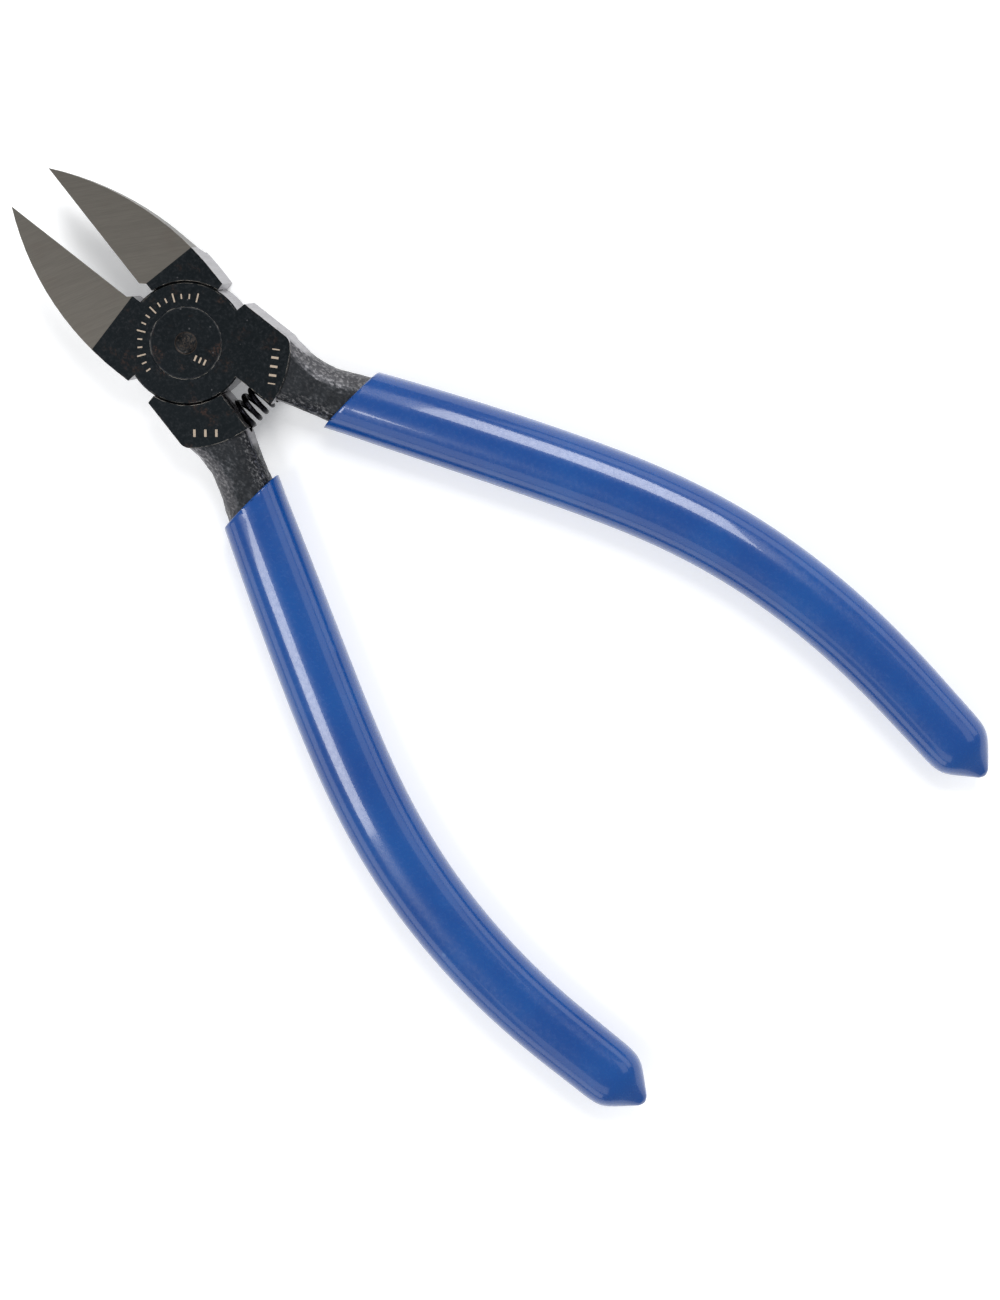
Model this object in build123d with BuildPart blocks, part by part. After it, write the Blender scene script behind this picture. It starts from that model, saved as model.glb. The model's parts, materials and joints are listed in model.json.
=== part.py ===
from build123d import *
import os
from math import cos, pi, radians, sin, tan

# Flush cut pliers, 150 mm long shut, with two plastic-coated handles.
#
# The tool lies on its back. The origin is on the pivot axis, at the back face of the head,
# +X runs towards the blade tips, +Z out of the front (flush) face, and at rest the return
# spring holds the jaws open. Millimetres and degrees.
#
# Each forged half is drawn shut, in a frame of its own that is centred on the lap joint:
# its jaw is on +y, its handle on -y and its lap disc on +z. The rear half is the same
# forging turned over about X, with its blade ground flush on the other side, but the two
# handles are bent a little differently. A side is 1 for the front half, -1 for the rear half.
FRONT, REAR = 1, -1

# ---- Head ----
head_thickness = 9.0
disc_radius = 8.3
disc_bevel = 0.2
lap_gap = 0.06              # between the two lap discs
pocket_clearance = 0.12     # round the other half's disc

# ---- How far it opens ----
half_opening = 6.9          # each half stands this far from shut at rest
jaw_shoulder = 77.5         # where the jaw's shoulder stands at rest, round the pivot from +X
stop_swing = 24.5           # from the jaw's shoulder to the other half's tang at rest

# ---- Jaws and blades ----
tip_x = 30.0
jaw_width = 8.9
jaw_widest_x = 5.0
edge_gap = 0.015            # from each cutting edge to the centre line when shut
edge_land = 0.12            # thickness left along the cutting edge
bevel_angle = 35.0          # of the blade behind its cutting edge
bevel_start_x = 9.8
heel_x = 10.2               # where the cutting edge ends
heel_run = 0.65
heel_nub = 0.55             # the front half's heel stands this far over the centre line
heel_recess = 0.75          # and the rear half's is cut back this far
tip_thickness = 0.75
scoop_start_x = 8.6         # the back of the jaw falls away from here
scoop_end_x = 12.2
scoop_thickness = 3.9       # blade thickness where the scoop ends

# ---- Tangs, necks and handle cores ----
tang_width = 9.1
tang_inner = 0.6            # from the tang's inner face to the centre line when shut
tang_radius = 14.2          # the ground faces end on this arc round the pivot
tang_corner = 1.8           # rounds the outer end of the arc
handle_curve = {
    FRONT: [(-8, -4.9), (-13.4, -5.0), (-18.4, -6.0), (-27.8, -9.4), (-42, -14.7), (-56, -19.5),
            (-69.8, -23.05), (-83.4, -24.5), (-97, -24.05), (-109.5, -22.3), (-120.5, -20.3)],
    REAR: [(-8, -4.8), (-13.6, -4.7), (-18.8, -5.9), (-28.3, -9.0), (-42.8, -13.7), (-57, -17.95),
           (-71, -20.85), (-84.6, -21.6), (-98, -20.4), (-110.5, -17.7), (-121.4, -14.8)],
}
# Stations of the neck: distance along the curve, width, depth, corner radius.
neck_stations = [(0, 8.6, 7.9, 1.2), (4, 8.3, 7.9, 1.6), (7.7, 7.2, 7.6, 2.4), (11, 7.0, 7.2, 2.9)]
core_start = 14.5           # distances along the curve
core_end = 107.0

# ---- Grips ----
grip_start = 11.0
grip_end = {FRONT: 109.0, REAR: 107.5}
grip_width = 9.0            # at both ends of the grip
grip_depth = 8.2
grip_swell = 1.1            # its fullest place is this much wider, and half of that deeper
swell_lean = 0.66           # below 1, the fullest place is nearer to the head
grip_wall = 0.9
corner_share = 0.42         # of the section's depth
station_count = 9
lip_x = -21.0               # the coating ends square to the tool's axis at rest
drip_length = 7.2
drip_shares = [(0, 1.0), (0.45, 0.87), (0.8, 0.5), (1.0, 0.18)]     # of the length, of the section

# ---- Pivot rivet ----
shank_radius = 3.0
rivet_head_radius = 4.85
rivet_head_height = 2.4
tail_radius = 4.1           # peened into a countersink at the back
tail_height = 1.1
rivet_clearance = 0.04
dimple_radius = 1.5
dimple_depth = 0.35

# ---- Return spring ----
spring_x = -12.1
coil_radius = 1.8
wire_radius = 0.375
coil_pitch = 1.24
seat_radius = 2.36
seat_depth_y = 5.3          # the bottom of each seat, from the middle of the tool

mid_height = head_thickness / 2


def half_frame(side):
    """A half's own frame, swung open by its share."""
    turn = radians(half_opening * side)
    return Plane(origin=(0, 0, mid_height), x_dir=(cos(turn), sin(turn), 0), z_dir=(0, 0, side))


def polar(radius, angle):
    return (radius * cos(radians(angle)), radius * sin(radians(angle)))


def handle_stations(side, stations):
    """Planes square to the handle's curve, one for each station, with the section's sizes."""
    frame = half_frame(side)
    with BuildLine(frame) as curve:
        Spline(*handle_curve[side])
    for distance, width, depth, corner in stations:
        along = curve.edge().tangent_at(distance, position_mode=PositionMode.LENGTH)
        centre = curve.edge().position_at(distance, position_mode=PositionMode.LENGTH)
        yield Plane(origin=centre, x_dir=frame.z_dir.cross(along), z_dir=along), width, depth, corner


def grip_section(distance, end, wall=0.0):
    """Station of a coated handle that ends at end, or of the core a wall's thickness inside it."""
    along = (distance - grip_start) / (end - grip_start)
    swell = grip_swell * sin(pi * along ** swell_lean)
    depth = grip_depth + swell / 2 - 2 * wall
    return distance, grip_width + swell - 2 * wall, depth, corner_share * depth


def even_stations(side, start, end, wall=0.0):
    """Evenly spaced stations of the grip or its core."""
    step = (end - start) / (station_count - 1)
    return [grip_section(start + number * step, grip_end[side], wall) for number in range(station_count)]


def drip_stations(side):
    """The coating's end, drawn out to a blunt point where it dripped."""
    distance, width, depth, corner = grip_section(grip_end[side], grip_end[side])
    return [(distance + drip_length * reach, width * share, depth * share, corner * share)
            for reach, share in drip_shares]


def loft_handle(side, stations, ruled=False):
    """Solid through the stations along the handle's curve."""
    with BuildPart() as solid:
        for plane, width, depth, corner in handle_stations(side, stations):
            with BuildSketch(plane):
                RectangleRounded(width, depth, corner)
        loft(ruled=ruled)
    return solid.part


def rivet_profile(clearance, tail):
    """Half of the rivet's section on the XZ plane, grown by clearance."""
    with BuildSketch(Plane.XZ) as profile:
        under_head = head_thickness - rivet_head_height - clearance
        with BuildLine():
            Polyline((0, 0), (tail, 0), (shank_radius + clearance, tail_height),
                     (shank_radius + clearance, under_head), (rivet_head_radius + clearance, under_head),
                     (rivet_head_radius + clearance, head_thickness), (0, head_thickness), close=True)
        make_face()
    return profile.sketch


# ---- Pivot rivet: flush head in front, shank, and a tail peened flush at the back ----
with BuildPart() as pivot_rivet:
    revolve(rivet_profile(0, tail_radius), axis=Axis.Z)
    with BuildSketch(Plane.XZ):
        with Locations((0, head_thickness)):
            Ellipse(dimple_radius, dimple_depth)
        Rectangle(dimple_radius, 2 * head_thickness, align=(Align.MIN, Align.CENTER), mode=Mode.INTERSECT)
    revolve(axis=Axis.Z, mode=Mode.SUBTRACT)


def forged_half(side, heel_y):
    """One forged half: lap disc, jaw, tang, neck and handle core.

    heel_y is where the heel behind the cutting edge stands from the centre line.
    """
    frame = half_frame(side)
    underside = -mid_height
    # In the side view x runs along the jaw and y towards its flush face, whichever way up it is.
    side_view = Plane(origin=frame.origin, x_dir=frame.x_dir, z_dir=frame.y_dir * -side)
    end_view = Plane(origin=frame.origin + frame.x_dir * bevel_start_x,
                     x_dir=frame.y_dir * side, z_dir=frame.x_dir)

    with BuildPart() as half:
        # Lap disc, with its rim broken at the outer face
        with BuildSketch(frame.offset(lap_gap / 2)):
            Circle(disc_radius)
        extrude(amount=mid_height - lap_gap / 2)
        chamfer(half.edges().sort_by(Axis(frame.origin, frame.z_dir))[-1], disc_bevel)

        # Jaw, full thickness: a straight inner edge and one long arc outside
        shoulder = polar(jaw_width / sin(radians(jaw_shoulder - half_opening)), jaw_shoulder - half_opening)
        with BuildSketch(frame.offset(underside)):
            with BuildLine():
                widest = (jaw_widest_x, jaw_width)
                outside = TangentArc(widest, (tip_x, edge_gap), tangent=(1, 0))
                Polyline(outside @ 1, (heel_x, edge_gap), (heel_x - heel_run, heel_y), (1, heel_y),
                         shoulder, widest)
            make_face()
        extrude(amount=head_thickness)

        # The back of the jaw is scooped away towards the tip
        rise = (scoop_thickness - tip_thickness) / (tip_x - scoop_end_x)
        overrun = 2.0
        with BuildSketch(side_view):
            with BuildLine():
                scoop_end = (scoop_end_x, mid_height - scoop_thickness)
                scoop_start = (scoop_start_x, -mid_height)
                beyond_tip = (tip_x + overrun, mid_height - tip_thickness + rise * overrun)
                Line(beyond_tip, scoop_end)
                TangentArc(scoop_end, scoop_start, tangent=(-1, -rise))
                Polyline(scoop_start, (scoop_start_x, -head_thickness), (tip_x + overrun, -head_thickness),
                         beyond_tip)
            make_face()
        extrude(amount=2 * jaw_width, both=True, mode=Mode.SUBTRACT)

        # Blade bevel behind the cutting edge
        drop = jaw_width * tan(radians(bevel_angle))
        edge_level = mid_height - edge_land
        with BuildSketch(end_view):
            with BuildLine():
                Polyline((-side, edge_level), (edge_gap * side, edge_level),
                         (jaw_width * side, edge_level - drop), (jaw_width * side, -head_thickness),
                         (-side, -head_thickness), close=True)
            make_face()
        extrude(amount=tip_x, mode=Mode.SUBTRACT)

        # Tang: a flat plate that ends on an arc round the pivot
        tang_shoulder = 360 - jaw_shoulder - stop_swing - half_opening
        with BuildSketch(frame.offset(underside)) as tang:
            Circle(tang_radius)
            with BuildLine():
                Polyline((-1, -tang_inner), (-tang_radius, -tang_inner), (-tang_radius, -tang_width),
                         polar(tang_width / sin(radians(tang_shoulder - 180)), tang_shoulder), close=True)
            make_face(mode=Mode.INTERSECT)
            fillet(tang.vertices().sort_by_distance((-tang_radius, -tang_width, 0))[0], tang_corner)
        extrude(amount=head_thickness)

        # Neck and handle core
        core = even_stations(side, core_start, core_end, grip_wall)
        add(loft_handle(side, neck_stations + core[:1]))
        add(loft_handle(side, core))

        # Pocket for the other half's disc
        with BuildSketch(frame.offset(underside)):
            Circle(disc_radius + pocket_clearance)
        extrude(amount=mid_height + lap_gap / 2, mode=Mode.SUBTRACT)

        # Blind seat for the return spring
        with BuildSketch(Plane(origin=(spring_x, 0, mid_height), x_dir=(1, 0, 0), z_dir=(0, -side, 0))):
            Circle(seat_radius)
        extrude(amount=seat_depth_y, mode=Mode.SUBTRACT)
    return half


# ---- Front half: its disc is in front, and it turns on the rivet with running clearance ----
with BuildPart() as front_half:
    add(forged_half(FRONT, -heel_nub).part)
    revolve(rivet_profile(rivet_clearance, shank_radius + rivet_clearance), axis=Axis.Z, mode=Mode.SUBTRACT)

# ---- Rear half: its disc is at the back, and the rivet is peened into it ----
with BuildPart() as rear_half:
    add(forged_half(REAR, heel_recess).part)
    revolve(rivet_profile(0, tail_radius), axis=Axis.Z, mode=Mode.SUBTRACT)

# ---- Return spring: an open coil between the two blind seats ----
with BuildPart() as return_spring:
    with BuildLine():
        coil = Helix(pitch=coil_pitch, height=2 * (seat_depth_y - wire_radius), radius=coil_radius,
                     center=(spring_x, wire_radius - seat_depth_y, mid_height), direction=(0, 1, 0))
    with BuildSketch(Plane(origin=coil @ 0, z_dir=coil % 0)):
        Circle(wire_radius)
    sweep(is_frenet=True)


def dipped_grip(side, half):
    """Plastic coating over the handle core, with a square lip and a blunt drip at the end."""
    with BuildPart() as grip:
        add(loft_handle(side, even_stations(side, grip_start, grip_end[side])))
        add(loft_handle(side, drip_stations(side), ruled=True))
        split(bisect_by=Plane(origin=(lip_x, 0, 0), z_dir=(-1, 0, 0)), keep=Keep.TOP)
        add(half.part, mode=Mode.SUBTRACT)
    return grip


# ---- Grips ----
front_grip = dipped_grip(FRONT, front_half)
rear_grip = dipped_grip(REAR, rear_half)

os.makedirs("parts", exist_ok=True)
pieces = {
    "front_half": front_half,
    "rear_half": rear_half,
    "pivot_rivet": pivot_rivet,
    "return_spring": return_spring,
    "front_grip": front_grip,
    "rear_grip": rear_grip,
}
for name, piece in pieces.items():
    piece.part.label = name
    export_step(piece.part, f"parts/{name}.step")
    print(name, len(piece.part.solids()), round(piece.part.volume, 1))
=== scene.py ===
import json
from math import cos, pi, radians, sin

import bmesh
import bpy
import numpy as np
from mathutils import Matrix, Vector, noise
from mathutils.bvhtree import BVHTree


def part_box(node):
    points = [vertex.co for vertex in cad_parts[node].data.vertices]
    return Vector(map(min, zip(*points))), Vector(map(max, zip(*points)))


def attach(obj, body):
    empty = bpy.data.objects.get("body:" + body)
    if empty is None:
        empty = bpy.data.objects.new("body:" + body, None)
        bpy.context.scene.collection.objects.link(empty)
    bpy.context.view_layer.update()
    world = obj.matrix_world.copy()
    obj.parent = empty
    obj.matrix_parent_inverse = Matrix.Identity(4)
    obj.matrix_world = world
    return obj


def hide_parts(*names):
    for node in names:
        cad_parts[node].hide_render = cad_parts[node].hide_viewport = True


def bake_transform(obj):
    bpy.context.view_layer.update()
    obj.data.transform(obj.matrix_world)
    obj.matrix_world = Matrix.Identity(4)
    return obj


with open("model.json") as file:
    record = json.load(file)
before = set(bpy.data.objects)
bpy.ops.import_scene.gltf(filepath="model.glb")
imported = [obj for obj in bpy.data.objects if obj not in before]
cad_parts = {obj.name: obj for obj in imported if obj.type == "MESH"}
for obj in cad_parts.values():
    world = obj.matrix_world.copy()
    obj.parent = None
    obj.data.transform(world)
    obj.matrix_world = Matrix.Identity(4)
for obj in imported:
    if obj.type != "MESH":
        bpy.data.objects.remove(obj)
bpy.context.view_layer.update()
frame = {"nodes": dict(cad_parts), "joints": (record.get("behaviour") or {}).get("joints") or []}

MM = 0.001

# The tool lies on its back with its jaws along +X. All of these are measured off the frame.
HEAD_LOW, HEAD_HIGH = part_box("front_half")[0].z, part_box("front_half")[1].z
MID_HEIGHT = (HEAD_LOW + HEAD_HIGH) / 2
RIVET_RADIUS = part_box("pivot_rivet")[1].x
LIP_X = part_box("front_grip")[1].x
SPRING_LOW, SPRING_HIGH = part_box("return_spring")
SHUT_ANGLE = frame["joints"][0]["range_deg"][0]
HALF_OPENING = radians(-SHUT_ANGLE / 2)

GROUND_FROM = 9.6 * MM      # the blades are ground bright from here to their tips
TANG_RADIUS = 14.2 * MM     # the ground faces of the tangs end on this arc round the pivot
SIDE_RUN_ON = 1.6 * MM      # the ground sides run on this far past that arc
SEAM = 0.05 * MM            # half the width of the line where one finish meets the next
FLUSH_SKIN = 0.05 * MM      # etched marks reach only this far below the flush face
PIT_RADIUS = 1.45 * MM      # the punched centre of the rivet head
PIT_TURN, PIT_SHIFT = 0.7, (0.013, 0.004, 0.0)      # picks a plain patch of noise for the pit's scale
RING_PITCH = 0.16 * MM      # of the turning marks on the rivet head
SWING = {"front": HALF_OPENING, "rear": -HALF_OPENING}
# On the neck, the slope facing this way is painted lighter, as if lit
OUTWARD = {"front": -1.0, "rear": 1.0}      # the way each handle faces along Y, away from the other


# ---------------------------------------------------------------- colours

BLACK_OXIDE = (0.0085, 0.0107, 0.0123, 1)
BLACK_GREY = (0.025, 0.027, 0.030, 1)
RUST_BROWN = (0.048, 0.029, 0.023, 1)
GROUND_STEEL = (0.110, 0.102, 0.090, 1)
GROUND_DARK = (0.096, 0.089, 0.079, 1)
GROUND_STAIN = (0.095, 0.079, 0.068, 1)
SIDE_STEEL = (0.35, 0.342, 0.358, 1)
SIDE_DARK = (0.25, 0.246, 0.258, 1)
FORGED_DARK = (0.024, 0.026, 0.029, 1)
# The next two colours are painted light: a lit copy of the forged tone for the neck's outer slopes, and the
# neck's painted glints (also used for the pale ring round the rivet head)
FORGED_PAINTED_LIT = (0.078, 0.078, 0.084, 1)
FORGED_LIGHT = (0.27, 0.265, 0.27, 1)
# Bare rubbed metal on the edges, which also serves as a painted edge highlight
BARE_EDGE_AND_HIGHLIGHT = (0.26, 0.24, 0.215, 1)
PIT_BROWN = (0.060, 0.048, 0.040, 1)
ETCH_TAN = (0.42, 0.35, 0.28, 1)
LINT = (0.10, 0.10, 0.105, 1)
WIRE_BLACK = (0.006, 0.006, 0.008, 1)
WIRE_GREY = (0.025, 0.025, 0.030, 1)
PVC_BLUE = (0.0, 0.046, 0.222, 1)
PVC_PALE = (0.0, 0.058, 0.252, 1)
PVC_SCUFF = (0.03, 0.12, 0.36, 1)
PVC_LINT = (0.12, 0.22, 0.42, 1)
FLOOR_GREY = (0.90, 0.90, 0.90, 1)
FLOOR_WHITE = (0.93, 0.93, 0.93, 1)


# ---------------------------------------------------------------- node building

class Tree:
    """A small helper that adds and joins nodes of one tree."""

    def __init__(self, tree):
        self.tree = tree

    def node(self, kind, values=None, **settings):
        made = self.tree.nodes.new(kind)
        for name, value in settings.items():
            setattr(made, name, value)
        for socket, value in (values or {}).items():
            self.put(made.inputs[socket], value)
        return made

    def put(self, socket, value):
        if isinstance(value, bpy.types.NodeSocket):
            self.tree.links.new(value, socket)
        else:
            socket.default_value = value

    def math(self, operation, *values):
        made = self.node("ShaderNodeMath", operation=operation)
        for index, value in enumerate(values):
            self.put(made.inputs[index], value)
        return made.outputs[0]

    def ramp(self, value, low, high, out_low=0.0, out_high=1.0):
        made = self.node("ShaderNodeMapRange", interpolation_type="SMOOTHSTEP")
        for name, number in (("Value", value), ("From Min", low), ("From Max", high),
                             ("To Min", out_low), ("To Max", out_high)):
            self.put(made.inputs[name], number)
        return made.outputs["Result"]

    def mix(self, factor, first, second):
        """Goes from the first colour to the second."""
        made = self.node("ShaderNodeMix", data_type="RGBA")
        sockets = {socket.identifier: socket for socket in made.inputs}
        self.put(sockets["Factor_Float"], factor)
        self.put(sockets["A_Color"], first)
        self.put(sockets["B_Color"], second)
        return next(socket for socket in made.outputs if socket.identifier == "Result_Color")

    def between(self, factor, first, second):
        """Goes from the first number to the second."""
        made = self.node("ShaderNodeMix", data_type="FLOAT")
        sockets = {socket.identifier: socket for socket in made.inputs}
        self.put(sockets["Factor_Float"], factor)
        self.put(sockets["A_Float"], first)
        self.put(sockets["B_Float"], second)
        return next(socket for socket in made.outputs if socket.identifier == "Result_Float")

    def product(self, *values):
        result = values[0]
        for value in values[1:]:
            result = self.math("MULTIPLY", result, value)
        return result

    def from_axis(self, x, y):
        """Distance from the pivot's axis."""
        return self.math("SQRT", self.math("ADD", self.product(x, x), self.product(y, y)))

    def turned(self, vector, angle):
        """The vector turned about +Z."""
        made = self.node("ShaderNodeVectorRotate", {"Vector": vector, "Angle": angle}, rotation_type="Z_AXIS")
        return made.outputs["Vector"]

    def noise(self, coordinates, scale, detail=3.0, rough=0.55):
        made = self.node("ShaderNodeTexNoise", {"Vector": coordinates, "Scale": scale, "Detail": detail,
                                                "Roughness": rough})
        return made.outputs["Fac"]

    def stretched(self, coordinates, scale, angle=0.0, location=(0, 0, 0)):
        made = self.node("ShaderNodeMapping", {"Vector": coordinates, "Scale": scale,
                                               "Rotation": (0, 0, angle), "Location": location})
        return made.outputs["Vector"]


def shader_group(name, inputs, outputs):
    """An empty shader group with named sockets; returns it, its helper and its two end nodes."""
    group = bpy.data.node_groups.new(name, "ShaderNodeTree")
    for label, kind, value in inputs:
        socket = group.interface.new_socket(label, in_out="INPUT", socket_type=kind)
        if value is not None:
            socket.default_value = value
    for label, kind in outputs:
        group.interface.new_socket(label, in_out="OUTPUT", socket_type=kind)
    tree = Tree(group)
    return group, tree, tree.node("NodeGroupInput"), tree.node("NodeGroupOutput")


def use_group(tree, group, **values):
    made = tree.node("ShaderNodeGroup", node_tree=group)
    for name, value in values.items():
        tree.put(made.inputs[name.replace("_", " ")], value)
    return made


VECTOR, FLOAT = "NodeSocketVector", "NodeSocketFloat"


def edge_wear_and_highlight_group():
    """Where an edge stands out: rubbed bare and with a painted highlight along it, broken up by noise."""
    group, t, given, out = shader_group(
        "edge_wear_and_highlight", [("Coordinates", VECTOR, None), ("Radius", FLOAT, 0.0002), ("Amount", FLOAT, 1.0)],
        [("Wear_and_highlight", FLOAT)])
    rounded = t.node("ShaderNodeBevel", {"Radius": given.outputs["Radius"]}, samples=6)
    surface = t.node("ShaderNodeNewGeometry")
    agree = t.node("ShaderNodeVectorMath", operation="DOT_PRODUCT")
    t.put(agree.inputs[0], rounded.outputs["Normal"])
    t.put(agree.inputs[1], surface.outputs["Normal"])
    edge = t.ramp(agree.outputs["Value"], 0.995, 0.90)
    patches = t.ramp(t.noise(given.outputs["Coordinates"], 900.0, 4.0), 0.42, 0.6)
    t.put(out.inputs["Wear_and_highlight"], t.product(edge, patches, given.outputs["Amount"]))
    return group


def brushed_grain_group():
    """Fine straight grinding lines across a flat face."""
    group, t, given, out = shader_group(
        "brushed_grain", [("Coordinates", VECTOR, None), ("Angle", FLOAT, 0.0), ("Fineness", FLOAT, 9000.0)],
        [("Lines", FLOAT)])
    turned = t.turned(given.outputs["Coordinates"], given.outputs["Angle"])
    fine = t.noise(t.stretched(turned, (1.0, 0.03, 0.03)), given.outputs["Fineness"], 2.0)
    coarse_scale = t.product(given.outputs["Fineness"], 0.28)
    coarse = t.noise(t.stretched(turned, (1.0, 0.02, 0.02)), coarse_scale, 2.0)
    t.put(out.inputs["Lines"], t.math("ADD", t.math("MULTIPLY", fine, 0.6), t.math("MULTIPLY", coarse, 0.4)))
    return group


def dust_group():
    """Sparse small specks of dust and lint."""
    group, t, given, out = shader_group(
        "dust_specks", [("Coordinates", VECTOR, None), ("Scale", FLOAT, 900.0), ("Cover", FLOAT, 0.12)],
        [("Specks", FLOAT)])
    cells = t.node("ShaderNodeTexVoronoi", {"Vector": given.outputs["Coordinates"],
                                            "Scale": given.outputs["Scale"]})
    spot = t.ramp(cells.outputs["Distance"], 0.20, 0.06)
    chance = t.node("ShaderNodeSeparateColor", {"Color": cells.outputs["Color"]})
    kept = t.math("LESS_THAN", chance.outputs["Red"], given.outputs["Cover"])
    t.put(out.inputs["Specks"], t.math("MULTIPLY", spot, kept))
    return group


def rub_group():
    """Soft brownish patches where the black finish is rubbed thin."""
    group, t, given, out = shader_group(
        "rubbed_patches", [("Coordinates", VECTOR, None), ("Scale", FLOAT, 260.0), ("Amount", FLOAT, 1.0)],
        [("Patches", FLOAT)])
    broad = t.ramp(t.noise(given.outputs["Coordinates"], given.outputs["Scale"], 3.0), 0.55, 0.72)
    fine_scale = t.math("MULTIPLY", given.outputs["Scale"], 9.0)
    broken = t.ramp(t.noise(given.outputs["Coordinates"], fine_scale, 4.0), 0.42, 0.62)
    t.put(out.inputs["Patches"], t.product(broad, broken, given.outputs["Amount"]))
    return group


def etched_bars_group():
    """A straight row of small etched bars, centred on a point and turned about +Z."""
    group, t, given, out = shader_group(
        "etched_bars", [("Coordinates", VECTOR, None), ("Centre", VECTOR, None), ("Angle", FLOAT, 0.0),
                        ("Length", FLOAT, 0.005), ("Height", FLOAT, 0.001), ("Pitch", FLOAT, 0.0012),
                        ("Fill", FLOAT, 0.5)],
        [("Mark", FLOAT)])
    apart = t.node("ShaderNodeVectorMath", operation="SUBTRACT")
    t.put(apart.inputs[0], given.outputs["Coordinates"])
    t.put(apart.inputs[1], given.outputs["Centre"])
    place = t.node("ShaderNodeSeparateXYZ",
                   {"Vector": t.turned(apart.outputs["Vector"], given.outputs["Angle"])})
    along, across = place.outputs["X"], place.outputs["Y"]
    in_length = t.math("LESS_THAN", t.math("ABSOLUTE", along),
                       t.math("MULTIPLY", given.outputs["Length"], 0.5))
    in_height = t.math("LESS_THAN", t.math("ABSOLUTE", across),
                       t.math("MULTIPLY", given.outputs["Height"], 0.5))
    phase = t.math("FRACT", t.math("ADD", t.math("DIVIDE", along, given.outputs["Pitch"]), 100.5))
    bar = t.math("LESS_THAN", t.math("ABSOLUTE", t.math("SUBTRACT", phase, 0.5)),
                 t.math("MULTIPLY", given.outputs["Fill"], 0.5))
    t.put(out.inputs["Mark"], t.product(in_length, in_height, bar))
    return group


def etched_arc_group():
    """Radial ticks on an arc round the pivot: every third one is longer."""
    group, t, given, out = shader_group(
        "etched_arc", [("Coordinates", VECTOR, None), ("Radius", FLOAT, 0.0068), ("Height", FLOAT, 0.001),
                       ("First", FLOAT, -1.0), ("Last", FLOAT, 1.4), ("Step", FLOAT, 0.12),
                       ("Line", FLOAT, 0.0002)],
        [("Mark", FLOAT)])
    place = t.node("ShaderNodeSeparateXYZ", {"Vector": given.outputs["Coordinates"]})
    x, y = place.outputs["X"], place.outputs["Y"]
    radius = t.from_axis(x, y)
    angle = t.math("ARCTAN2", y, x)
    count = t.math("DIVIDE", t.math("SUBTRACT", angle, given.outputs["First"]), given.outputs["Step"])
    nearest = t.math("ROUND", count)
    sideways = t.product(t.math("SUBTRACT", count, nearest), given.outputs["Step"], radius)
    on_line = t.math("LESS_THAN", t.math("ABSOLUTE", sideways),
                     t.math("MULTIPLY", given.outputs["Line"], 0.5))
    third = t.math("COMPARE", t.math("MODULO", t.math("ADD", nearest, 30.0), 3.0), 0.0, 0.1)
    reach = t.math("MULTIPLY", given.outputs["Height"], t.math("ADD", 0.3, t.math("MULTIPLY", third, 0.25)))
    near = t.math("LESS_THAN", t.math("ABSOLUTE", t.math("SUBTRACT", radius, given.outputs["Radius"])), reach)
    slack = 0.03            # radians, so that the first and last ticks are whole
    after = t.math("GREATER_THAN", angle, t.math("SUBTRACT", given.outputs["First"], slack))
    before = t.math("LESS_THAN", angle, t.math("ADD", given.outputs["Last"], slack))
    t.put(out.inputs["Mark"], t.product(on_line, near, after, before))
    return group


def black_oxide_group():
    """Finely speckled black finish of the ground faces."""
    group, t, given, out = shader_group(
        "black_oxide", [("Coordinates", VECTOR, None), ("Scale", FLOAT, 2600.0)],
        [("Tone", "NodeSocketColor"), ("Speckle", FLOAT)])
    speckle = t.noise(given.outputs["Coordinates"], given.outputs["Scale"], 4.0, 0.7)
    t.put(out.inputs["Tone"], t.mix(t.ramp(speckle, 0.45, 0.85), BLACK_OXIDE, BLACK_GREY))
    t.put(out.inputs["Speckle"], speckle)
    return group


EDGE_WEAR_AND_HIGHLIGHT = edge_wear_and_highlight_group()
BRUSHED = brushed_grain_group()
DUST = dust_group()
RUBS = rub_group()
BARS = etched_bars_group()
ARC = etched_arc_group()
OXIDE = black_oxide_group()


# ---------------------------------------------------------------- materials

def new_material(name):
    material = bpy.data.materials.new(name)
    material.use_nodes = True
    material.node_tree.nodes.clear()
    tree = Tree(material.node_tree)
    shader = tree.node("ShaderNodeBsdfPrincipled")
    output = tree.node("ShaderNodeOutputMaterial")
    tree.put(output.inputs["Surface"], shader.outputs["BSDF"])
    coordinates = tree.node("ShaderNodeTexCoord").outputs["Object"]
    return material, tree, shader, coordinates


def bump(tree, shader, height, strength, distance):
    made = tree.node("ShaderNodeBump", {"Strength": strength, "Distance": distance, "Height": height})
    tree.put(shader.inputs["Normal"], made.outputs["Normal"])


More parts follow.
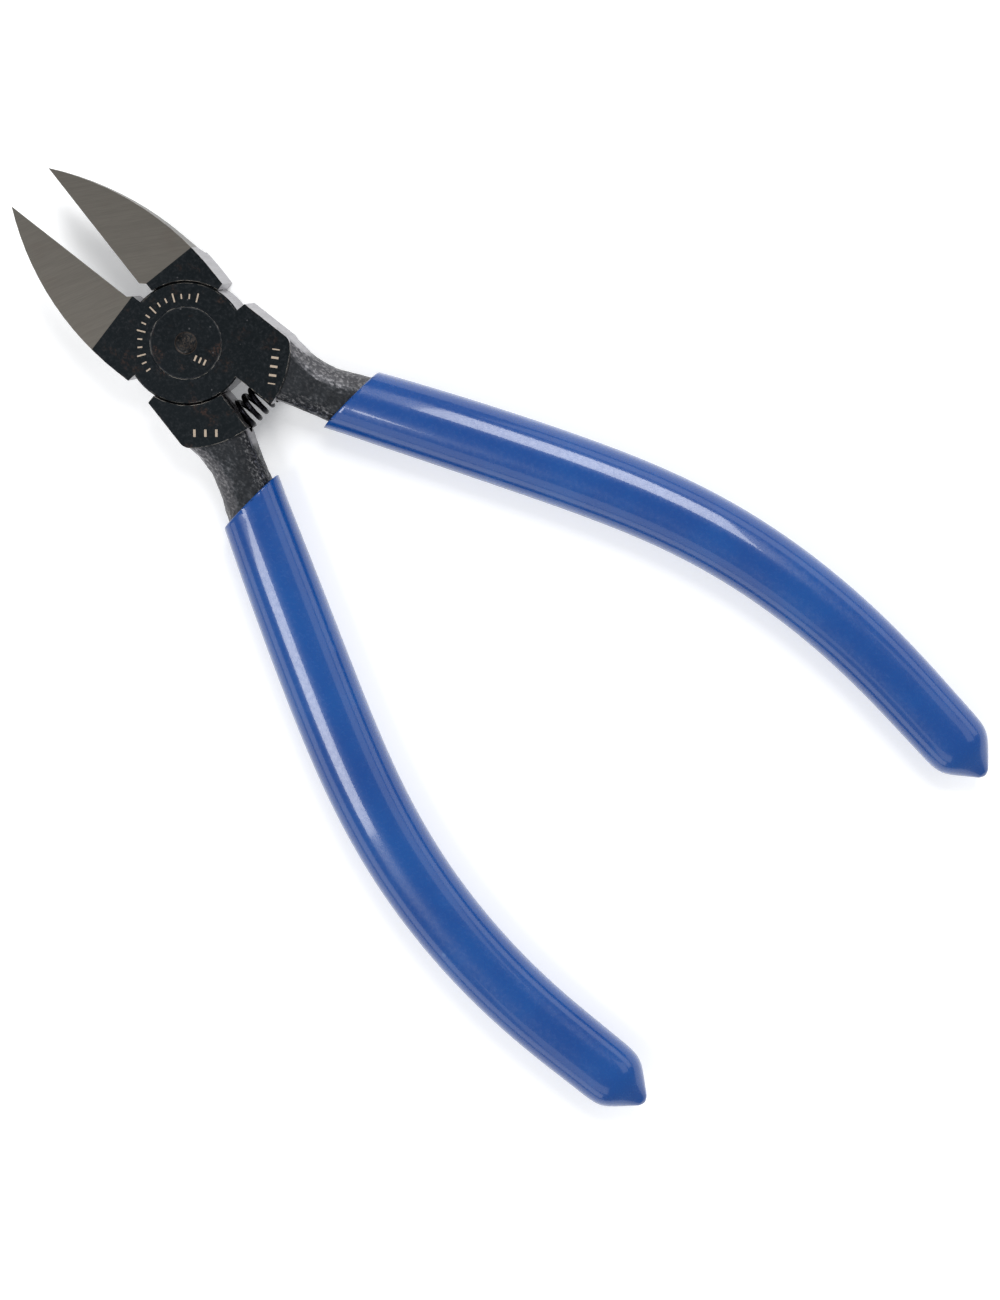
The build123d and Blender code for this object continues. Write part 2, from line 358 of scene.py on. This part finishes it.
def head_steel(side):
    """Blackened forging, ground flat in front, with one bright blade and a rough neck."""
    material, t, shader, place = new_material(f"{side}_head_steel")
    shader.inputs["Metallic"].default_value = 1.0
    turned = t.turned(place, -SWING[side])
    spot = t.node("ShaderNodeSeparateXYZ", {"Vector": turned})
    along, height = spot.outputs["X"], spot.outputs["Z"]
    surface = t.node("ShaderNodeNewGeometry")
    flat = t.node("ShaderNodeVectorTransform", {"Vector": surface.outputs["True Normal"]},
                  vector_type="NORMAL", convert_from="WORLD", convert_to="OBJECT")
    facing = t.node("ShaderNodeSeparateXYZ", {"Vector": flat.outputs["Vector"]})
    level = t.math("ABSOLUTE", facing.outputs["Z"])
    outward = t.product(facing.outputs["Y"], OUTWARD[side])
    sideways = t.ramp(level, 0.62, 0.42)
    unturned = t.node("ShaderNodeSeparateXYZ", {"Vector": place})
    from_pivot = t.from_axis(unturned.outputs["X"], unturned.outputs["Y"])
    behind = t.math("LESS_THAN", along, 0.0)
    run_on = t.product(sideways, SIDE_RUN_ON)
    past_arc = t.math("SUBTRACT", t.math("SUBTRACT", from_pivot, TANG_RADIUS), run_on)
    beyond = t.ramp(past_arc, -SEAM, t.math("ADD", t.product(run_on, 0.8), SEAM))
    neck = t.product(behind, beyond)
    blade = t.ramp(along, GROUND_FROM - 0.6 * SEAM, GROUND_FROM + 0.6 * SEAM)

    # Ground black faces
    oxide = use_group(t, OXIDE, Coordinates=place)
    speckle = oxide.outputs["Speckle"]
    rubs = use_group(t, RUBS, Coordinates=place, Scale=330.0, Amount=0.65).outputs["Patches"]
    specks = use_group(t, DUST, Coordinates=place, Scale=1300.0, Cover=0.10).outputs["Specks"]
    black = t.mix(rubs, oxide.outputs["Tone"], RUST_BROWN)
    black = t.mix(t.product(specks, 0.55), black, LINT)

    # Bright sides of the jaws and tangs
    lines = use_group(t, BRUSHED, Coordinates=place, Angle=0.4, Fineness=7000.0).outputs["Lines"]
    side_tone = t.mix(t.ramp(lines, 0.3, 0.7), SIDE_DARK, SIDE_STEEL)

    # Ground blade
    grain = use_group(t, BRUSHED, Coordinates=turned, Angle=0.5, Fineness=11000.0).outputs["Lines"]
    cloud = t.noise(place, 300.0, 2.0)
    steel = t.mix(t.ramp(grain, 0.35, 0.65), GROUND_DARK, GROUND_STEEL)
    steel = t.mix(t.ramp(cloud, 0.5, 0.8, 0.0, 0.25), steel, GROUND_STAIN)

    # Rough forged neck: scale tone with painted light. The outer slopes are painted lighter and the top and
    # inner slopes darker, and painted glints sit mostly on the slopes
    coarse = t.noise(t.stretched(place, (0.7, 1.0, 1.0)), 2900.0, 5.0, 0.7)
    glint = t.ramp(coarse, 0.46, 0.70)
    # painted shade: the glints are kept off the flat top, so the top reads darker
    on_slopes = t.ramp(level, 0.99, 0.78, 0.10, 0.85)
    scale_tone_with_painted_light = t.mix(t.ramp(outward, 0.08, 0.55), FORGED_DARK, FORGED_PAINTED_LIT)
    scale_tone_with_painted_light = t.mix(t.product(glint, on_slopes), scale_tone_with_painted_light, FORGED_LIGHT)

    head = t.mix(sideways, black, side_tone)
    head = t.mix(blade, head, steel)
    head = t.mix(neck, head, scale_tone_with_painted_light)
    # The edges get a bright rim that is partly real rubbing and partly a painted highlight
    wear_and_highlight = use_group(t, EDGE_WEAR_AND_HIGHLIGHT, Coordinates=place, Radius=0.16 * MM, Amount=0.8).outputs["Wear_and_highlight"]
    head = t.mix(t.product(wear_and_highlight, t.math("SUBTRACT", 1.0, t.product(neck, 0.7))), head, BARE_EDGE_AND_HIGHLIGHT)

    # Etched marks on the flush face
    up = t.math("GREATER_THAN", height, HEAD_HIGH - FLUSH_SKIN)
    if side == "front":
        marks = use_group(t, ARC, Coordinates=place, Radius=6.3 * MM, Height=1.1 * MM, First=radians(-60),
                          Last=radians(80), Step=radians(10), Line=0.2 * MM).outputs["Mark"]
        bars = use_group(t, BARS, Coordinates=place, Centre=(-10.7 * MM, -6.2 * MM, 0), Angle=radians(53),
                         Length=4.8 * MM, Height=1.0 * MM, Pitch=1.2 * MM, Fill=0.26).outputs["Mark"]
        marks = t.math("MAXIMUM", marks, bars)
    else:
        marks = use_group(t, BARS, Coordinates=place, Centre=(-10.4 * MM, 6.8 * MM, 0), Angle=radians(-45),
                          Length=4.5 * MM, Height=1.0 * MM, Pitch=1.5 * MM, Fill=0.22).outputs["Mark"]
    faded = t.ramp(t.noise(place, 3000.0), 0.25, 0.45, 0.45, 1.0)
    etched = t.product(marks, up, faded)
    head = t.mix(etched, head, ETCH_TAN)
    t.put(shader.inputs["Base Color"], head)

    rough = t.ramp(speckle, 0.3, 0.7, 0.30, 0.46)
    rough = t.between(sideways, rough, 0.34)
    rough = t.between(blade, rough, 0.36)
    rough = t.between(neck, rough, t.ramp(coarse, 0.4, 0.6, 0.56, 0.42))
    rough = t.between(etched, rough, 0.65)
    t.put(shader.inputs["Roughness"], rough)

    polish = t.product(grain, 0.10)
    skin = t.product(t.noise(place, 4200.0, 4.0, 0.7), 0.25)
    relief = t.between(blade, skin, polish)
    relief = t.between(neck, relief, t.math("ADD", t.product(coarse, 0.7), skin))
    bump(t, shader, relief, 0.5, 0.06 * MM)
    return material


def rivet_steel():
    """Rivet head ground flush with the disc, with faint turned rings."""
    material, t, shader, place = new_material("rivet_head_steel")
    shader.inputs["Metallic"].default_value = 1.0
    spot = t.node("ShaderNodeSeparateXYZ", {"Vector": place})
    x, y = spot.outputs["X"], spot.outputs["Y"]
    radius = t.from_axis(x, y)
    rings = t.math("SINE", t.product(radius, 2 * pi / RING_PITCH))
    oxide = use_group(t, OXIDE, Coordinates=place)
    speckle = oxide.outputs["Speckle"]
    rubs = use_group(t, RUBS, Coordinates=place, Scale=420.0, Amount=0.9).outputs["Patches"]
    specks = use_group(t, DUST, Coordinates=place, Scale=1100.0, Cover=0.16).outputs["Specks"]
    tone = t.mix(rubs, oxide.outputs["Tone"], RUST_BROWN)
    rim = t.product(t.ramp(radius, RIVET_RADIUS - 0.16 * MM, RIVET_RADIUS - 0.05 * MM),
                    t.ramp(t.noise(place, 700.0), 0.4, 0.65, 0.04, 0.17))
    tone = t.mix(rim, tone, FORGED_LIGHT)
    pit_line = t.ramp(t.math("ABSOLUTE", t.math("SUBTRACT", radius, PIT_RADIUS)), 0.13 * MM, 0.04 * MM)
    in_pit = t.ramp(radius, PIT_RADIUS, PIT_RADIUS - 0.3 * MM)
    scale = t.noise(t.stretched(place, (1.0, 1.0, 1.0), PIT_TURN, PIT_SHIFT), 2900.0, 5.0, 0.75)
    tone = t.mix(t.product(pit_line, t.ramp(scale, 0.35, 0.6, 0.3, 0.9)), tone, PIT_BROWN)
    tone = t.mix(t.product(in_pit, t.ramp(scale, 0.42, 0.68, 0.0, 0.8)), tone, PIT_BROWN)
    tone = t.mix(t.product(specks, 0.6), tone, LINT)
    marks = use_group(t, BARS, Coordinates=place, Centre=(-3.0 * MM, 0.3 * MM, 0), Angle=radians(-20),
                      Length=2.0 * MM, Height=0.8 * MM, Pitch=0.7 * MM, Fill=0.35).outputs["Mark"]
    etched = t.product(marks, t.math("GREATER_THAN", spot.outputs["Z"], HEAD_HIGH - FLUSH_SKIN))
    t.put(shader.inputs["Base Color"], t.mix(etched, tone, ETCH_TAN))
    t.put(shader.inputs["Roughness"], t.between(etched, t.ramp(speckle, 0.3, 0.7, 0.28, 0.44), 0.65))
    skin = t.math("ADD", t.product(rings, 0.05), t.product(speckle, 0.3))
    relief = t.math("ADD", skin, t.product(in_pit, scale, 3.0))
    bump(t, shader, relief, 0.5, 0.05 * MM)
    return material


def spring_steel():
    """Oiled black spring wire with drawing marks."""
    material, t, shader, place = new_material("spring_wire")
    shader.inputs["Metallic"].default_value = 1.0
    streaks = t.noise(t.stretched(place, (1.0, 0.25, 1.0)), 5200.0, 3.0)
    # The wire's edges get a bright rim that is partly real rubbing and partly a painted highlight
    worn_and_highlit = use_group(t, EDGE_WEAR_AND_HIGHLIGHT, Coordinates=place, Radius=0.1 * MM, Amount=0.4).outputs["Wear_and_highlight"]
    tone = t.mix(t.ramp(streaks, 0.4, 0.75), WIRE_BLACK, WIRE_GREY)
    t.put(shader.inputs["Base Color"], t.mix(worn_and_highlit, tone, BARE_EDGE_AND_HIGHLIGHT))
    t.put(shader.inputs["Roughness"], t.ramp(streaks, 0.3, 0.7, 0.22, 0.38))
    bump(t, shader, streaks, 0.25, 0.02 * MM)
    return material


def dipped_plastic():
    """Glossy dipped PVC: slow ripples from the dip, a fine skin, lint and pale scuffs."""
    material, t, shader, place = new_material("dipped_blue_plastic")
    shader.inputs["Specular IOR Level"].default_value = 0.35
    shader.inputs["Coat Weight"].default_value = 0.5
    shader.inputs["Coat Roughness"].default_value = 0.05
    shader.inputs["Subsurface Weight"].default_value = 0.06
    shader.inputs["Subsurface Radius"].default_value = (0.2 * MM, 0.4 * MM, 1.0 * MM)
    cloud = t.noise(place, 90.0, 3.0)
    fine = t.noise(place, 1800.0, 3.0)
    tone = t.mix(t.ramp(cloud, 0.35, 0.7), PVC_BLUE, PVC_PALE)
    specks = use_group(t, DUST, Coordinates=place, Scale=420.0, Cover=0.05).outputs["Specks"]
    scuffs = t.ramp(t.noise(t.stretched(place, (0.35, 1.0, 1.0), 0.5), 700.0, 4.0, 0.7), 0.66, 0.78)
    tone = t.mix(t.product(scuffs, 0.22), tone, PVC_SCUFF)
    tone = t.mix(t.product(specks, 0.35), tone, PVC_LINT)
    t.put(shader.inputs["Base Color"], tone)
    rough = t.ramp(fine, 0.3, 0.7, 0.20, 0.29)
    t.put(shader.inputs["Roughness"], t.math("ADD", rough, t.product(scuffs, 0.15)))
    ripples = t.math("ADD", t.noise(place, 130.0, 2.0), t.product(fine, 0.05))
    bump(t, shader, ripples, 0.25, 0.12 * MM)
    return material


def floor_paper():
    """Plain pale sheet, faintly lit from below as a light table is, so that its shadows stay soft."""
    material, t, shader, place = new_material("studio_floor")
    fibre = t.noise(place, 60.0, 2.0)
    t.put(shader.inputs["Base Color"], t.mix(fibre, FLOOR_GREY, FLOOR_WHITE))
    shader.inputs["Roughness"].default_value = 0.85
    shader.inputs["Emission Color"].default_value = (0.96, 0.98, 1.0, 1)
    shader.inputs["Emission Strength"].default_value = 0.25
    return material


# ---------------------------------------------------------------- pieces

def finish_mesh(name, bm, material, sharp_angle):
    """Turns a finished bmesh into a shown piece with smooth curves, flat flats and sharp edges."""
    bm.normal_update()
    for edge in bm.edges:
        edge.smooth = edge.calc_face_angle(pi) < radians(sharp_angle)
    for face in bm.faces:
        bends = [edge.calc_face_angle(0) for edge in face.edges if edge.smooth]
        level = abs(face.normal.z) > 0.99995
        face.smooth = not level and max(bends, default=0) > radians(0.1)
    mesh = bpy.data.meshes.new(name)
    bm.to_mesh(mesh)
    bm.free()
    mesh.materials.append(material)
    piece = bpy.data.objects.new(name, mesh)
    bpy.context.scene.collection.objects.link(piece)
    return piece


RELIEF_CELL = 0.28 * MM     # the longest edge left where the scale has relief
COARSE_SCALE = 620.0        # per metre
PIT_SCALE = 1900.0
COARSE_HEIGHT = 0.075 * MM
PIT_HEIGHT = 0.035 * MM
TANG_FADE = 0.9 * MM        # the relief grows over this length from the tang's arc
LIP_FADE = 0.5 * MM
MERGE = 0.002 * MM
FORGING_SHARP, COATING_SHARP, FLOOR_SHARP = 28, 60, 30      # degrees


def in_neck(point):
    """True on the rough forged neck, between the tang's arc and the coating's lip."""
    return Vector(point[:2]).length > TANG_RADIUS + 0.02 * MM and LIP_X - 0.8 * MM < point.x < 0


def neck_roughness(point):
    """Height of the forging scale at a point of the neck, fading out at the tang and the lip."""
    past_tang = (Vector(point[:2]).length - TANG_RADIUS) / TANG_FADE
    before_lip = (point.x - LIP_X) / LIP_FADE
    fade = max(0.0, min(1.0, past_tang, before_lip))
    coarse = noise.fractal(point * COARSE_SCALE, 0.9, 2.1, 4)
    pits = noise.noise(point * PIT_SCALE)
    return fade * (COARSE_HEIGHT * coarse + PIT_HEIGHT * pits)


def forged_half(side, material):
    """The CAD half with broken edges and real forging scale on its neck."""
    node = f"{side}_half"
    bm = bmesh.new()
    bm.from_mesh(frame["nodes"][node].data)
    bmesh.ops.remove_doubles(bm, verts=bm.verts, dist=MERGE)
    bmesh.ops.dissolve_degenerate(bm, edges=bm.edges, dist=MERGE / 2)
    for _ in range(6):
        rough_edges = [edge for edge in bm.edges if edge.calc_length() > RELIEF_CELL
                       and in_neck(edge.verts[0].co) and in_neck(edge.verts[1].co)]
        if not rough_edges:
            break
        bmesh.ops.subdivide_edges(bm, edges=rough_edges, cuts=1)
        bmesh.ops.triangulate(bm, faces=[face for face in bm.faces if len(face.verts) > 3])
    bm.normal_update()
    moves = [(vert, vert.normal * neck_roughness(vert.co)) for vert in bm.verts if in_neck(vert.co)]
    for vert, move in moves:
        vert.co += move
    piece = finish_mesh(f"{side}_half_forging", bm, material, FORGING_SHARP)
    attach(piece, side)
    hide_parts(node)
    return piece


RAY_START = 0.1             # well outside the handles, on either side
RAY_COUNT = 80
MOUTH_SKIP = 0.5 * MM       # no reading is taken this near the lip
NOSE_SKIP = 1.5 * MM        # nor this near the drip's end
CENTRE_DEGREE = 10
WIDTH_DEGREE = 4


def handle_rule(node):
    """The grip's centre line and half width as smooth functions of x, from the CAD grip's own outline."""
    tree = BVHTree.FromObject(frame["nodes"][node], bpy.context.evaluated_depsgraph_get())
    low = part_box(node)[0]
    xs, centres, widths = [], [], []
    for x in np.linspace(LIP_X - MOUTH_SKIP, low.x + NOSE_SKIP, RAY_COUNT):
        ends = [tree.ray_cast(Vector((x, start, MID_HEIGHT)), Vector((0, -start, 0)))[0]
                for start in (RAY_START, -RAY_START)]
        xs.append(x)
        centres.append((ends[0].y + ends[1].y) / 2)
        widths.append((ends[0].y - ends[1].y) / 2)
    centre = np.polynomial.Polynomial.fit(xs, centres, CENTRE_DEGREE)
    slope = centre.deriv()
    full = [(x, width * cos(np.arctan(slope(x)))) for x, width in zip(xs, widths) if x > low.x + FULL_FROM]
    return centre, slope, np.polynomial.Polynomial.fit(*zip(*full), WIDTH_DEGREE), low.x


RING_POINTS = 72
SQUARENESS = 2.25           # a plain ellipse has 2
DEPTH_SHARE = 0.870         # of a section's depth to its width
WALL = 0.82 * MM
LIP_ROUND = 0.22 * MM
BEYOND_LIP = 3.4 * MM       # the sweep starts this far ahead, and is then cut square at the lip
FULL_FROM = 9.0 * MM        # from the end of the drip, the section is full
NOSE_SHARE = 0.12           # of the full section, at the very end
NOSE_ROUND = 0.45 * MM
LAST_SURE = LIP_X - 1.0 * MM    # ahead of here the centre line runs on straight
FLARE = 200.0               # how fast the drip's flats widen, per metre
CORNER = 7.0                # how crisply the flats meet the full section


def drip_share(left):
    """How much of the full section there is at a distance from the drip's blunt end."""
    flat = NOSE_SHARE + FLARE * left
    blended = (flat ** -CORNER + 1) ** (-1 / CORNER)
    return blended * (1 - (1 - min(1.0, left / NOSE_ROUND)) ** 2) ** 0.5


def grip_ring(rule, x, inset):
    """One ring of the grip, square to the handle's centre line."""
    centre, slope, half_width, end = rule
    last_sure = min(x, LAST_SURE)
    steep = slope(last_sure)
    along = Vector((-1, -steep, 0)).normalized()
    sideways = Vector((-along.y, along.x, 0))
    full = half_width(min(max(x, end + FULL_FROM), LAST_SURE)) * drip_share(x - end)
    middle = Vector((x, centre(last_sure) + steep * (x - last_sure), MID_HEIGHT))
    points = []
    for index in range(RING_POINTS):
        angle = 2 * pi * index / RING_POINTS
        out = abs(cos(angle)) ** (2 / SQUARENESS) * (1 if cos(angle) >= 0 else -1)
        up = abs(sin(angle)) ** (2 / SQUARENESS) * (1 if sin(angle) >= 0 else -1)
        points.append(middle + sideways * ((full - inset) * out)
                      + Vector((0, 0, (full * DEPTH_SHARE - inset) * up)))
    return points


def sweep_skin(bm, rule, stations, inset, closing):
    """Skins one ring for each station, closes the last one to a point and cuts the mouth at the lip."""
    made = [[bm.verts.new(point) for point in grip_ring(rule, x, inset)] for x in stations]
    tip = bm.verts.new(closing)
    faces = []
    for first, second in zip(made, made[1:]):
        for index in range(RING_POINTS):
            after = (index + 1) % RING_POINTS
            faces.append(bm.faces.new((first[index], first[after], second[after], second[index])))
    for index in range(RING_POINTS):
        faces.append(bm.faces.new((made[-1][index], made[-1][(index + 1) % RING_POINTS], tip)))
    edges = {edge for face in faces for edge in face.edges}
    verts = [vert for ring in made for vert in ring] + [tip]
    cut = bmesh.ops.bisect_plane(bm, geom=[*verts, *edges, *faces], plane_co=(LIP_X, 0, 0),
                                 plane_no=(1, 0, 0), clear_outer=True, dist=0.0005 * MM)
    return [part for part in cut["geom_cut"] if isinstance(part, bmesh.types.BMEdge)]


def dipped_grip(side, material):
    """Dipped coating, cut square at its lip, with a hollow inside for the core and a drip at the end."""
    node = f"{side}_grip"
    rule = handle_rule(node)
    centre, end = rule[0], rule[3]
    start = LIP_X + BEYOND_LIP
    drip = end + FULL_FROM
    outside = [*np.linspace(start, drip, 140), *(end + FULL_FROM * np.linspace(1, 0, 46)[1:-1] ** 2)]
    bm = bmesh.new()
    outer_rim = sweep_skin(bm, rule, outside, 0.0, (end, centre(end), MID_HEIGHT))
    inner_rim = sweep_skin(bm, rule, np.linspace(start, drip, 70), WALL,
                           (drip - 0.3 * MM, centre(drip), MID_HEIGHT))
    bmesh.ops.bridge_loops(bm, edges=outer_rim + inner_rim)
    bmesh.ops.recalc_face_normals(bm, faces=bm.faces)
    bmesh.ops.bevel(bm, geom=outer_rim, offset=LIP_ROUND, segments=3, affect="EDGES", profile=0.5)
    piece = finish_mesh(f"{side}_grip_coating", bm, material, COATING_SHARP)
    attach(piece, side)
    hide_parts(node)
    return piece


# ---------------------------------------------------------------- return spring

def coil_tree():
    """Geometry Nodes for a wound spring: a spiral, drawn out to its pitch, with a round wire."""
    tree = bpy.data.node_groups.new("wound_coil", "GeometryNodeTree")
    for label, kind in (("Turns", FLOAT), ("Coil Radius", FLOAT), ("Wire Radius", FLOAT), ("Length", FLOAT),
                        ("Wire", "NodeSocketMaterial")):
        tree.interface.new_socket(label, in_out="INPUT", socket_type=kind)
    tree.interface.new_socket("Geometry", in_out="OUTPUT", socket_type="NodeSocketGeometry")
    t = Tree(tree)
    given, out = t.node("NodeGroupInput"), t.node("NodeGroupOutput")
    spiral = t.node("GeometryNodeCurveSpiral", {"Resolution": 40, "Rotations": given.outputs["Turns"],
                                                "Start Radius": given.outputs["Coil Radius"],
                                                "End Radius": given.outputs["Coil Radius"],
                                                "Height": given.outputs["Length"]})
    wire = t.node("GeometryNodeCurvePrimitiveCircle", {"Resolution": 14,
                                                       "Radius": given.outputs["Wire Radius"]})
    solid = t.node("GeometryNodeCurveToMesh", {"Curve": spiral.outputs["Curve"],
                                               "Profile Curve": wire.outputs["Curve"], "Fill Caps": True})
    real = t.node("GeometryNodeRealizeInstances", {"Geometry": solid.outputs["Mesh"]})
    smooth = t.node("GeometryNodeSetShadeSmooth", {"Geometry": real.outputs["Geometry"]})
    painted = t.node("GeometryNodeSetMaterial", {"Geometry": smooth.outputs["Geometry"],
                                                 "Material": given.outputs["Wire"]})
    t.put(out.inputs["Geometry"], painted.outputs["Geometry"])
    return tree


def baked_from_nodes(name, tree, values):
    """Runs a Geometry Nodes tree with its named inputs and keeps the result as a plain mesh."""
    carrier = bpy.data.objects.new(f"{name}_carrier", bpy.data.meshes.new(f"{name}_carrier"))
    bpy.context.scene.collection.objects.link(carrier)
    modifier = carrier.modifiers.new("made", "NODES")
    modifier.node_group = tree
    for item in tree.interface.items_tree:
        if item.in_out == "INPUT" and item.name in values:
            modifier[item.identifier] = values[item.name]
    ready = carrier.evaluated_get(bpy.context.evaluated_depsgraph_get())
    mesh = bpy.data.meshes.new_from_object(ready)
    mesh.name = name
    carrier.modifiers.remove(modifier)
    bpy.data.objects.remove(carrier)
    piece = bpy.data.objects.new(name, mesh)
    bpy.context.scene.collection.objects.link(piece)
    return piece


WIRE_RADIUS = 0.375 * MM
COIL_PITCH = 1.24 * MM


def return_spring(material):
    """The opening spring between the tangs, each end in its own half's seat."""
    length = SPRING_HIGH.y - SPRING_LOW.y - 2 * WIRE_RADIUS
    coil_radius = (SPRING_HIGH.z - SPRING_LOW.z) / 2 - WIRE_RADIUS
    piece = baked_from_nodes("return_spring_coil", coil_tree(), {
        "Turns": length / COIL_PITCH, "Coil Radius": coil_radius, "Wire Radius": WIRE_RADIUS,
        "Length": length, "Wire": material})
    middle_x = (SPRING_LOW.x + SPRING_HIGH.x) / 2
    lay_down = Matrix.Rotation(radians(-90), 4, "X")
    place = Matrix.Translation((middle_x, SPRING_LOW.y + WIRE_RADIUS, MID_HEIGHT))
    piece.data.transform(place @ lay_down)
    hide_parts("return_spring")
    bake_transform(piece)
    return piece


# ---------------------------------------------------------------- studio

FLOOR_REACH = 1.5
FLOOR_DROP = 0.1 * MM       # keeps the floor just clear of the tool's back


def floor(material):
    """A wide flat sheet under the tool."""
    bm = bmesh.new()
    bmesh.ops.create_grid(bm, x_segments=2, y_segments=2, size=FLOOR_REACH)
    bmesh.ops.translate(bm, verts=bm.verts, vec=(0, 0, HEAD_LOW - FLOOR_DROP))
    piece = finish_mesh("studio_floor", bm, material, FLOOR_SHARP)


def softbox(name, location, target, width, height, power):
    light = bpy.data.lights.new(name, "AREA")
    light.shape, light.size, light.size_y, light.energy = "RECTANGLE", width, height, power
    lamp = bpy.data.objects.new(name, light)
    lamp.location = location
    lamp.rotation_euler = (Vector(target) - Vector(location)).to_track_quat("-Z", "Y").to_euler()
    bpy.context.scene.collection.objects.link(lamp)


SOFTBOXES = (               # name, place, width, height and watts
    ("key_left", (0.06, 0.34, 0.66), 0.17, 0.30, 1.8),
    ("key_right", (0.16, -0.46, 0.66), 0.27, 0.42, 3.9),
    ("band_left", (-0.36, 0.57, 0.60), 0.40, 0.36, 0.5),
    ("band_right", (-0.36, -0.57, 0.60), 0.40, 0.36, 0.5),
    ("wall_left", (-0.04, 0.75, 0.25), 0.90, 0.30, 1.3),
    ("wall_right", (-0.04, -0.75, 0.25), 0.90, 0.30, 1.3),
)
LIT_POINT = (-0.04, 0, 0)
ROOM_COLOUR = (0.97, 0.98, 1.0, 1)
ROOM_STRENGTH = 0.42


def studio():
    """Two softboxes over the tips, two dim ones over the handle ends, two pale walls and a pale room."""
    for name, place, width, height, watts in SOFTBOXES:
        softbox(name, place, LIT_POINT, width, height, watts)
    world = bpy.data.worlds.new("studio_air")
    bpy.context.scene.world = world
    world.use_nodes = True
    background = world.node_tree.nodes["Background"]
    background.inputs["Color"].default_value = ROOM_COLOUR
    background.inputs["Strength"].default_value = ROOM_STRENGTH


CAMERA_TILT = radians(7.5)
CAMERA_DISTANCE = 0.62
VIEW_HEIGHT = 0.1755        # what the picture takes in, at the tool
AIMED_AT = Vector((-0.0593, -0.0007, HEAD_HIGH))


def camera():
    """Nearly straight down on the flush faces, from the side of the rear half's jaw, tips up and left."""
    back = Vector((0, -sin(CAMERA_TILT), cos(CAMERA_TILT)))
    down_left = Vector((0, cos(CAMERA_TILT), sin(CAMERA_TILT)))
    tips = Vector((1, 0, 0))
    right = -(tips + down_left) / 2 ** 0.5
    up = (tips - down_left) / 2 ** 0.5
    data = bpy.data.cameras.new("studio_camera")
    data.lens = data.sensor_width * CAMERA_DISTANCE / VIEW_HEIGHT
    data.clip_start, data.clip_end = 0.01, 10.0
    eye = bpy.data.objects.new("studio_camera", data)
    turn = Matrix((right, up, back)).transposed().to_4x4()
    eye.matrix_world = Matrix.Translation(AIMED_AT + back * CAMERA_DISTANCE) @ turn
    bpy.context.scene.collection.objects.link(eye)
    bpy.context.scene.camera = eye


# ---------------------------------------------------------------- the scene

bpy.context.scene.view_settings.view_transform = "Standard"
camera()
studio()
floor(floor_paper())

steels = {side: head_steel(side) for side in ("front", "rear")}
plastic = dipped_plastic()
for side in ("front", "rear"):
    forged_half(side, steels[side])
    dipped_grip(side, plastic)
return_spring(spring_steel())

rivet = frame["nodes"]["pivot_rivet"]
rivet.data.materials.clear()
rivet.data.materials.append(rivet_steel())
